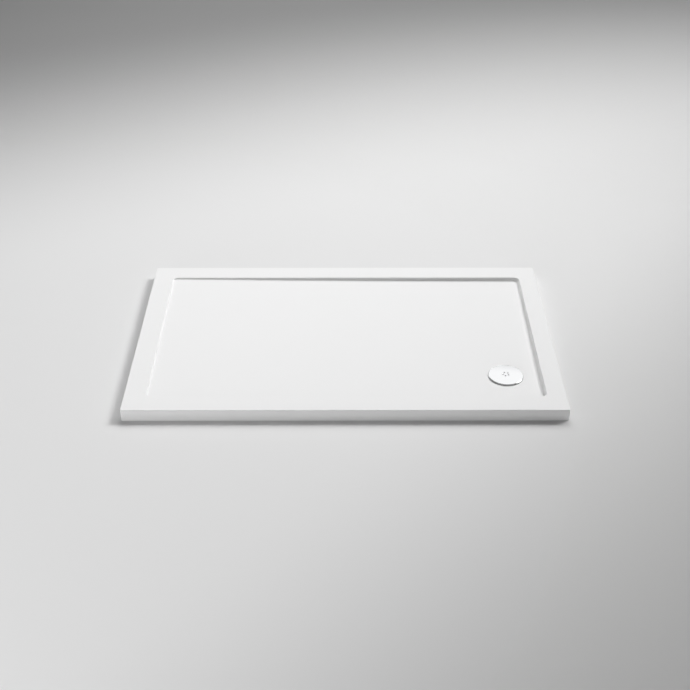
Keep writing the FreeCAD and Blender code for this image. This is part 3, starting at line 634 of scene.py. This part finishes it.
# The round ring is a circle carried round a circle. Its cord grows by the flash where the sine
# of the way over is near nought, so all round the inside and the outside.
low, high = box_in_mm("siphon_o_ring")
way_round = np.linspace(0, 2 * np.pi, RING_STEPS + 1)[:, None]
way_over = np.linspace(0, 2 * np.pi, RING_CORD_STEPS + 1)[None, :]
cord = RING_CORD_RADIUS + RING_FLASH * np.exp(-((np.sin(way_over) / RING_FLASH_SPREAD) ** 2))
reach = (high[0] - low[0]) / 2 - RING_CORD_RADIUS + cord * np.cos(way_over)
ring_points = np.stack(
    [
        waste[0] + reach * np.cos(way_round),
        waste[1] + reach * np.sin(way_round),
        (low[2] + high[2]) / 2 + cord * np.sin(way_over) + 0 * way_round,
    ],
    axis=-1,
)
o_ring = surface("moulded_o_ring", [ring_points])
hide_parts("siphon_o_ring")
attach(o_ring, "siphon_insert")
o_ring.data.materials.append(seal_rubber)


# --- moulded waste parts ------------------------------------------------------------------------
# Flange, trap, nut, dip tube and cup are injection moulded in white polypropylene. It is
# slightly waxy, with the fine even grain of a spark-eroded mould. The thread that the nut runs
# on shows as a ridge round the outlet, between the nut and the neck.

MOULD_GRAIN_SIZE = 0.7
MOULD_GRAIN_HEIGHT = 0.04
FLOW_MARK_SIZE = 20
THREAD_RADIUS = 24.5
THREAD_DEPTH = 0.9
THREAD_ROOT_DEPTH = 0.27
THREAD_PITCH = 3.0
THREAD_SHOWS = 10.0
THREAD_FADE = 0.3
THREAD_OFF_NUT = 0.9
THREAD_FOOT_HALF = 0.72
THREAD_CREST_HALF = 0.252
THREAD_STEPS = 240

polypropylene = new_material("injection_moulded_polypropylene")
place = add(polypropylene, "ShaderNodeTexCoord", {})
grain = add(
    polypropylene,
    "ShaderNodeTexNoise",
    {"Vector": (place, "Object"), "Scale": 1 / (MOULD_GRAIN_SIZE * MM), "Detail": 2.0},
)
grain_bump = add(
    polypropylene,
    "ShaderNodeBump",
    {"Height": (grain, "Fac"), "Strength": 0.35, "Distance": MOULD_GRAIN_HEIGHT * MM},
)
flow = add(
    polypropylene,
    "ShaderNodeTexNoise",
    {
        "Vector": (place, "Object"),
        "Scale": 1 / (FLOW_MARK_SIZE * MM),
        "Detail": 3.0,
        "Distortion": 0.6,
    },
)
flow_shade = add(
    polypropylene,
    "ShaderNodeMix",
    {"Factor": (flow, "Fac"), "A": linear("#E2E2DD"), "B": linear("#EBEBE7")},
    data_type="RGBA",
)
waxy_white = add(
    polypropylene,
    "ShaderNodeBsdfPrincipled",
    {
        "Base Color": (flow_shade, "Result"),
        "Roughness": 0.42,
        "IOR": 1.49,
        "Normal": (grain_bump, "Normal"),
    },
)
add(polypropylene, "ShaderNodeOutputMaterial", {"Surface": (waxy_white, "BSDF")})
for node in ("waste_flange", "trap_body", "outlet_nut", "dip_tube", "siphon_cup"):
    coat(node, polypropylene)

# The ridge's section, foot and crest, is carried along a helix. The crest rises from the root
# and falls back to it over a share of a turn, and a point in the middle closes each end.
low, high = box_in_mm("outlet_nut")
turns = np.linspace(0, THREAD_SHOWS / THREAD_PITCH, THREAD_STEPS + 1)[:, None]
fade = np.clip(np.minimum(turns, turns[-1] - turns) / THREAD_FADE, 0, 1)
foot, crest = THREAD_FOOT_HALF, THREAD_CREST_HALF
ridge_along = np.array([[-foot, -crest, crest, foot, -foot]])
root = -THREAD_ROOT_DEPTH + 0 * fade
crest_rise = THREAD_DEPTH * fade
radius = THREAD_RADIUS + np.concatenate([root, crest_rise, crest_rise, root, root], axis=1)
thread_points = np.stack(
    [
        high[0] + THREAD_OFF_NUT + turns * THREAD_PITCH + ridge_along,
        waste[1] + radius * np.cos(2 * np.pi * turns),
        (low[2] + high[2]) / 2 + radius * np.sin(2 * np.pi * turns),
    ],
    axis=-1,
)
ends = np.repeat(thread_points[[0, -1]].mean(axis=1)[:, None], ridge_along.size, axis=1)
thread_points = np.concatenate([ends[:1], thread_points, ends[1:]])
outlet_thread = surface("outlet_thread", [thread_points])
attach(outlet_thread, "tray")
outlet_thread.data.materials.append(polypropylene)


# --- slip ring ----------------------------------------------------------------------------------
# A thin washer stamped from natural nylon sheet, so that the nut turns without dragging the
# seal. It is cream-coloured and satin.

NYLON_HAZE_SIZE = 6

nylon = new_material("stamped_natural_nylon")
place = add(nylon, "ShaderNodeTexCoord", {})
haze = add(
    nylon,
    "ShaderNodeTexNoise",
    {"Vector": (place, "Object"), "Scale": 1 / (NYLON_HAZE_SIZE * MM), "Detail": 2.0},
)
nylon_shade = add(
    nylon,
    "ShaderNodeMix",
    {"Factor": (haze, "Fac"), "A": linear("#DDD4BD"), "B": linear("#E8E1CE")},
    data_type="RGBA",
)
satin_cream = add(
    nylon,
    "ShaderNodeBsdfPrincipled",
    {"Base Color": (nylon_shade, "Result"), "Roughness": 0.4, "IOR": 1.53},
)
add(nylon, "ShaderNodeOutputMaterial", {"Surface": (satin_cream, "BSDF")})
coat("outlet_slip_ring", nylon)


# --- clamping screws ----------------------------------------------------------------------------
# Four stainless countersunk screws with a cross recess and a rolled thread draw the flange and
# the trap together. They are bright from cold heading, and each was left at its own turn.

SCREW_HEAD_RADIUS = 3.9
SCREW_HEAD_DEPTH = 2.2
SCREW_EDGE = 0.15
SCREW_NECK_BELOW = 0.3
SCREW_NECK_ABOVE = 0.2
SCREW_CORE_RADIUS = 1.55
SCREW_THREAD_RADIUS = 2.0
SCREW_PITCH = 1.6
SCREW_PLAIN = 3.5
SCREW_POINT = 1.2
SCREW_TIP_RADIUS = 0.8
SCREW_TURNS = (12, 67, 38, 81)
THREAD_ROWS_PER_TURN = 8
CROSS_REACH = 2.1
CROSS_HALF = 0.5
# The cross's size beside its size at the top, and the depth there.
CROSS_ROWS = ((1.12, 0.0), (1.0, 0.06), (0.8, 1.5), (0.0, 1.95))
COLUMNS_BETWEEN_ARMS = (23, 34, 45)
CROSS_LEAST = 1e-9
COLD_HEADING_MARK_SIZE = 0.8

stainless = new_material("cold_headed_stainless_steel")
place = add(stainless, "ShaderNodeTexCoord", {})
heading_marks = add(
    stainless,
    "ShaderNodeTexNoise",
    {"Vector": (place, "Object"), "Scale": 1 / (COLD_HEADING_MARK_SIZE * MM), "Detail": 2.0},
)
steel_gloss = add(
    stainless,
    "ShaderNodeMapRange",
    {"Value": (heading_marks, "Fac"), "To Min": 0.2, "To Max": 0.36},
)
bright_steel = add(
    stainless,
    "ShaderNodeBsdfPrincipled",
    {"Base Color": linear("#C9C7C2"), "Metallic": 1.0, "Roughness": (steel_gloss, "Result")},
)
add(stainless, "ShaderNodeOutputMaterial", {"Surface": (bright_steel, "BSDF")})

# Each row of a screw runs once round, with columns where an arm of the cross ends or turns in.
low, high = box_in_mm("flange_screws")
screw_circle = (high[0] - low[0]) / 2 - SCREW_HEAD_RADIUS
corner_turn = math.degrees(math.atan2(CROSS_HALF, CROSS_REACH))
eighth = [0, corner_turn / 2, corner_turn, *COLUMNS_BETWEEN_ARMS]
quarter = np.array(eighth[:-1] + [90 - turn for turn in eighth[:0:-1]])
around = np.radians(np.append(np.concatenate([quarter + 90 * i for i in range(4)]), 360))
cosines, sines = np.abs(np.cos(around)), np.abs(np.sin(around))


def bar(along, across):
    """How far out a bar of the cross reaches: the nearer of its end and its side."""
    end = CROSS_REACH / np.maximum(along, CROSS_LEAST)
    side = CROSS_HALF / np.maximum(across, CROSS_LEAST)
    return np.minimum(end, side)


# The thread is a ridge whose height follows the square of a wave that climbs a pitch a turn.
cross_edge = np.maximum(bar(cosines, sines), bar(sines, cosines))
head_top = high[2]
neck = head_top - SCREW_HEAD_DEPTH
thread_top = neck - SCREW_PLAIN
row_step = SCREW_PITCH / THREAD_ROWS_PER_TURN
heights = np.arange(low[2] + SCREW_POINT, thread_top, row_step)[:, None]
wave = (0.5 + 0.5 * np.cos(2 * np.pi * heights / SCREW_PITCH - around)) ** 2
run_out = np.clip((thread_top - heights) / SCREW_PITCH, 0, 1)
ridge = SCREW_CORE_RADIUS + (SCREW_THREAD_RADIUS - SCREW_CORE_RADIUS) * wave * run_out
screw_rows = [(0 * around, low[2]), (SCREW_TIP_RADIUS + 0 * around, low[2])]
screw_rows += list(zip(ridge, heights[:, 0]))
screw_rows += [
    (radius + 0 * around, height)
    for radius, height in (
        (SCREW_CORE_RADIUS, thread_top + SCREW_NECK_BELOW),
        (SCREW_CORE_RADIUS, neck - SCREW_NECK_BELOW),
        (SCREW_THREAD_RADIUS, neck + SCREW_NECK_ABOVE),
        (SCREW_HEAD_RADIUS, head_top - 2 * SCREW_EDGE),
        (SCREW_HEAD_RADIUS, head_top - SCREW_EDGE),
        (SCREW_HEAD_RADIUS - SCREW_EDGE, head_top),
        (SCREW_HEAD_RADIUS - 4 * SCREW_EDGE, head_top),
    )
]
screw_rows += [(cross_edge * size, head_top - depth) for size, depth in CROSS_ROWS]
screw_radius = np.stack([radius for radius, _ in screw_rows])
screw_height = np.array([height for _, height in screw_rows])[:, None] + 0 * around
screw_grids = []
for i, turn in enumerate(SCREW_TURNS):
    quarter_turn = math.radians(90 * i)
    spin = around + math.radians(turn)
    across = waste[0] + screw_circle * math.cos(quarter_turn) + screw_radius * np.cos(spin)
    along = waste[1] + screw_circle * math.sin(quarter_turn) + screw_radius * np.sin(spin)
    screw_grids.append([np.stack([across, along, screw_height], axis=-1)])
screws = surface("threaded_screws", *screw_grids)
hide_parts("flange_screws")
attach(screws, "tray")
screws.data.materials.append(stainless)


# --- cover --------------------------------------------------------------------------------------
# The domed cover is moulded in ABS and chrome plated. It has five vents round its middle, a
# rolled-over edge, a slotted spigot that finds the flange's opening and four ribs that carry it
# on the flange. The plate is a near mirror over the faintest waviness of the moulding.

COVER_FOOT = 25.0
COVER_SHOULDER_SAG = 2.5
COVER_EDGE = 2.4
COVER_EDGE_START = 86
COVER_EDGE_STEPS = 10
COVER_FOOT_EDGE = 0.4
COVER_FOOT_STEPS = 4
COVER_WALL = 2.0
COVER_TURN_STEPS = 120
DOME_ROWS = (22, 30, 38, 45, 50, 53, 54.4)
CEILING_EDGE = (54.0, 25.75)
CEILING_START = 31.0
CEILING_DIP = 0.05
CEILING_ROW = 22
VENT_COUNT = 5
VENT_RADIUS = 2.5
VENT_EDGE = 0.2
VENT_EDGE_STEPS = 4
VENT_CIRCLE = 9.6
VENT_FIRST = 41.8
VENT_ZONE = 14.0
VENT_ZONE_ROWS = (0, 0.3, 0.6, 0.85, 1)
VENT_ZONE_SIDE_STEPS = 8
SPIGOT_RADII = (29.0, 30.8)
SPIGOT_EDGE = 0.3
SPIGOT_SUNK = 0.2
SPIGOT_WINDOW_TOP = 24.5
SPIGOT_LEG_TURN = 11.6
SPIGOT_LEG_STEPS = 6
SPIGOT_GAP_STEPS = 15
# Each corner of a rib: its distance from the middle of the cover, and its height.
RIB_OUTLINE = ((29.9, 22.3), (45.5, 20.3), (51.0, 20.3), (54.5, 26.6), (29.9, 28.3))
RIB_HALF = 0.9
# How much smaller a rib is than its outline, as a share, this far in from its face.
RIB_EDGE = ((0.05, 0.0), (0.015625, 0.075), (0.0, 0.25))
PLATE_WAVE_SIZE = 20


def about_waste(grid, degrees):
    """The grid turned about the upright axis and moved to the waste."""
    cosine, sine = math.cos(math.radians(degrees)), math.sin(math.radians(degrees))
    return grid @ np.array([[cosine, sine, 0], [-sine, cosine, 0], [0, 0, 1]]) + (*waste, 0)


def turned(profile, degrees):
    """A turned grid: one row for each radius and height of the profile."""
    radius, height = np.array(profile).T[:, :, None]
    turn = np.radians(degrees)
    return np.stack([radius * np.cos(turn), radius * np.sin(turn), height + 0 * turn], axis=-1)


low, high = box_in_mm("waste_cover")
cover_radius = (high[0] - low[0]) / 2
cover_inside = cover_radius - COVER_WALL
edge_middle = cover_radius - COVER_EDGE
crest = high[2]
ceiling = crest - COVER_WALL
dome_drop = COVER_SHOULDER_SAG / edge_middle**2


def dome(reach):
    """Height of the dome: it drops from the crest with the square of the distance."""
    return crest - dome_drop * reach**2


# One sector holds one vent. Its edge runs from the middle along a ray, round the zone's circle
# and back, and straight lines join it to the vent, over the top, through the hole and below.
half = 180 / VENT_COUNT
ray_reach = np.linspace(0, VENT_ZONE, VENT_ZONE_SIDE_STEPS + 1)
zone_turns = np.linspace(-half, half, COVER_TURN_STEPS // VENT_COUNT + 1)
edge_reach = np.concatenate([ray_reach, 0 * zone_turns[1:] + VENT_ZONE, ray_reach[-2::-1]])
edge_turn = np.radians(
    np.concatenate([0 * ray_reach - half, zone_turns[1:], 0 * ray_reach[1:] + half])
)
sector_edge = edge_reach[:, None] * np.column_stack([np.cos(edge_turn), np.sin(edge_turn)])
vent = np.array([VENT_CIRCLE, 0.0])
away = sector_edge - vent
away = away / np.linalg.norm(away, axis=1)[:, None]
vent_start = vent + away * (VENT_RADIUS + VENT_EDGE)
level_rows = [sector_edge + size * (vent_start - sector_edge) for size in VENT_ZONE_ROWS]
top_rows = [np.column_stack([row, dome(np.linalg.norm(row, axis=1))]) for row in level_rows]
mouth = top_rows[-1][:, 2]
under_rows = [np.column_stack([row, 0 * mouth + ceiling]) for row in level_rows]
wall_rows = []
for start, middle in ((90, mouth - VENT_EDGE), (180, 0 * mouth + ceiling + VENT_EDGE)):
    for inward, up in arc(0, 0, VENT_EDGE, start, start + 90, VENT_EDGE_STEPS):
        ring = vent + away * (VENT_RADIUS + VENT_EDGE + inward)
        wall_rows.append(np.column_stack([ring, middle + up]))
sector = np.stack(top_rows + wall_rows + under_rows[::-1])
sectors = [about_waste(sector, VENT_FIRST + 2 * half * i) for i in range(VENT_COUNT)]

profile = [(reach, dome(reach)) for reach in (VENT_ZONE, *DOME_ROWS)]
profile += arc(
    edge_middle,
    dome(edge_middle) - COVER_EDGE,
    COVER_EDGE,
    COVER_EDGE_START,
    0,
    COVER_EDGE_STEPS,
)
foot_middle = COVER_FOOT + COVER_FOOT_EDGE
foot_outside = cover_radius - COVER_FOOT_EDGE
profile += arc(foot_outside, foot_middle, COVER_FOOT_EDGE, 0, -90, COVER_FOOT_STEPS)
foot_inside = cover_inside + COVER_FOOT_EDGE
profile += arc(foot_inside, foot_middle, COVER_FOOT_EDGE, -90, -180, COVER_FOOT_STEPS)
profile += [(cover_inside, COVER_FOOT + FLAT_MARGIN), CEILING_EDGE]
profile += [(CEILING_START, ceiling - CEILING_DIP), (SPIGOT_RADII[1], ceiling)]
profile += [(CEILING_ROW, ceiling), (VENT_ZONE, ceiling)]
all_round = VENT_FIRST - half + np.linspace(0, 360, COVER_TURN_STEPS + 1)
outer_zone = about_waste(turned(profile, all_round), 0)

# The spigot is a tube whose foot is drawn up to the window's top between its four legs.
inner, outer = SPIGOT_RADII
foot = low[2]
leg = np.linspace(-SPIGOT_LEG_TURN, SPIGOT_LEG_TURN, SPIGOT_LEG_STEPS + 1)
gap = np.linspace(SPIGOT_LEG_TURN, 90 - SPIGOT_LEG_TURN, SPIGOT_GAP_STEPS + 1)
fourth = np.append(leg, gap)
spigot_turns = np.concatenate([fourth + 90 * i for i in range(4)] + [fourth[:1] + 360])
is_leg = np.append(np.tile(np.arange(len(fourth)) < len(leg), 4), True)
spigot_profile = [
    (outer, ceiling + SPIGOT_SUNK),
    (outer, SPIGOT_WINDOW_TOP),
    (outer, foot + SPIGOT_EDGE),
    (outer - SPIGOT_EDGE, foot),
    (inner + SPIGOT_EDGE, foot),
    (inner, foot + SPIGOT_EDGE),
    (inner, SPIGOT_WINDOW_TOP),
    (inner, ceiling + SPIGOT_SUNK),
    (outer, ceiling + SPIGOT_SUNK),
]
spigot = turned(spigot_profile, spigot_turns)
spigot[..., 2] = np.maximum(spigot[..., 2], np.where(is_leg, foot, SPIGOT_WINDOW_TOP))

# A rib is its outline at several sizes about its middle, from one face to the other.
rib_outline = np.array(RIB_OUTLINE + RIB_OUTLINE[:1])
rib_middle = rib_outline[:-1].mean(axis=0)
rib_rows = [(0, RIB_HALF)] + [(1 - less, RIB_HALF - inward) for less, inward in RIB_EDGE]
rib_rows = [(size, -side) for size, side in rib_rows] + rib_rows[::-1]
rib = np.stack(
    [
        np.insert(rib_middle + size * (rib_outline - rib_middle), 1, side, axis=1)
        for size, side in rib_rows
    ]
)
ribs = [[about_waste(rib, 90 * i)] for i in range(4)]

plated_cover = surface("plated_cover", [outer_zone, *sectors], [about_waste(spigot, 0)], *ribs)
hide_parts("waste_cover")
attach(plated_cover, "cover")

chrome = new_material("chrome_plated_abs")
place = add(chrome, "ShaderNodeTexCoord", {})
waviness = add(
    chrome,
    "ShaderNodeTexNoise",
    {"Vector": (place, "Object"), "Scale": 1 / (PLATE_WAVE_SIZE * MM), "Detail": 1.0},
)
plate_gloss = add(
    chrome,
    "ShaderNodeMapRange",
    {"Value": (waviness, "Fac"), "To Min": 0.05, "To Max": 0.09},
)
mirror = add(
    chrome,
    "ShaderNodeBsdfPrincipled",
    {"Base Color": linear("#F8F9FA"), "Metallic": 1.0, "Roughness": (plate_gloss, "Result")},
)
add(chrome, "ShaderNodeOutputMaterial", {"Surface": (mirror, "BSDF")})
plated_cover.data.materials.append(chrome)
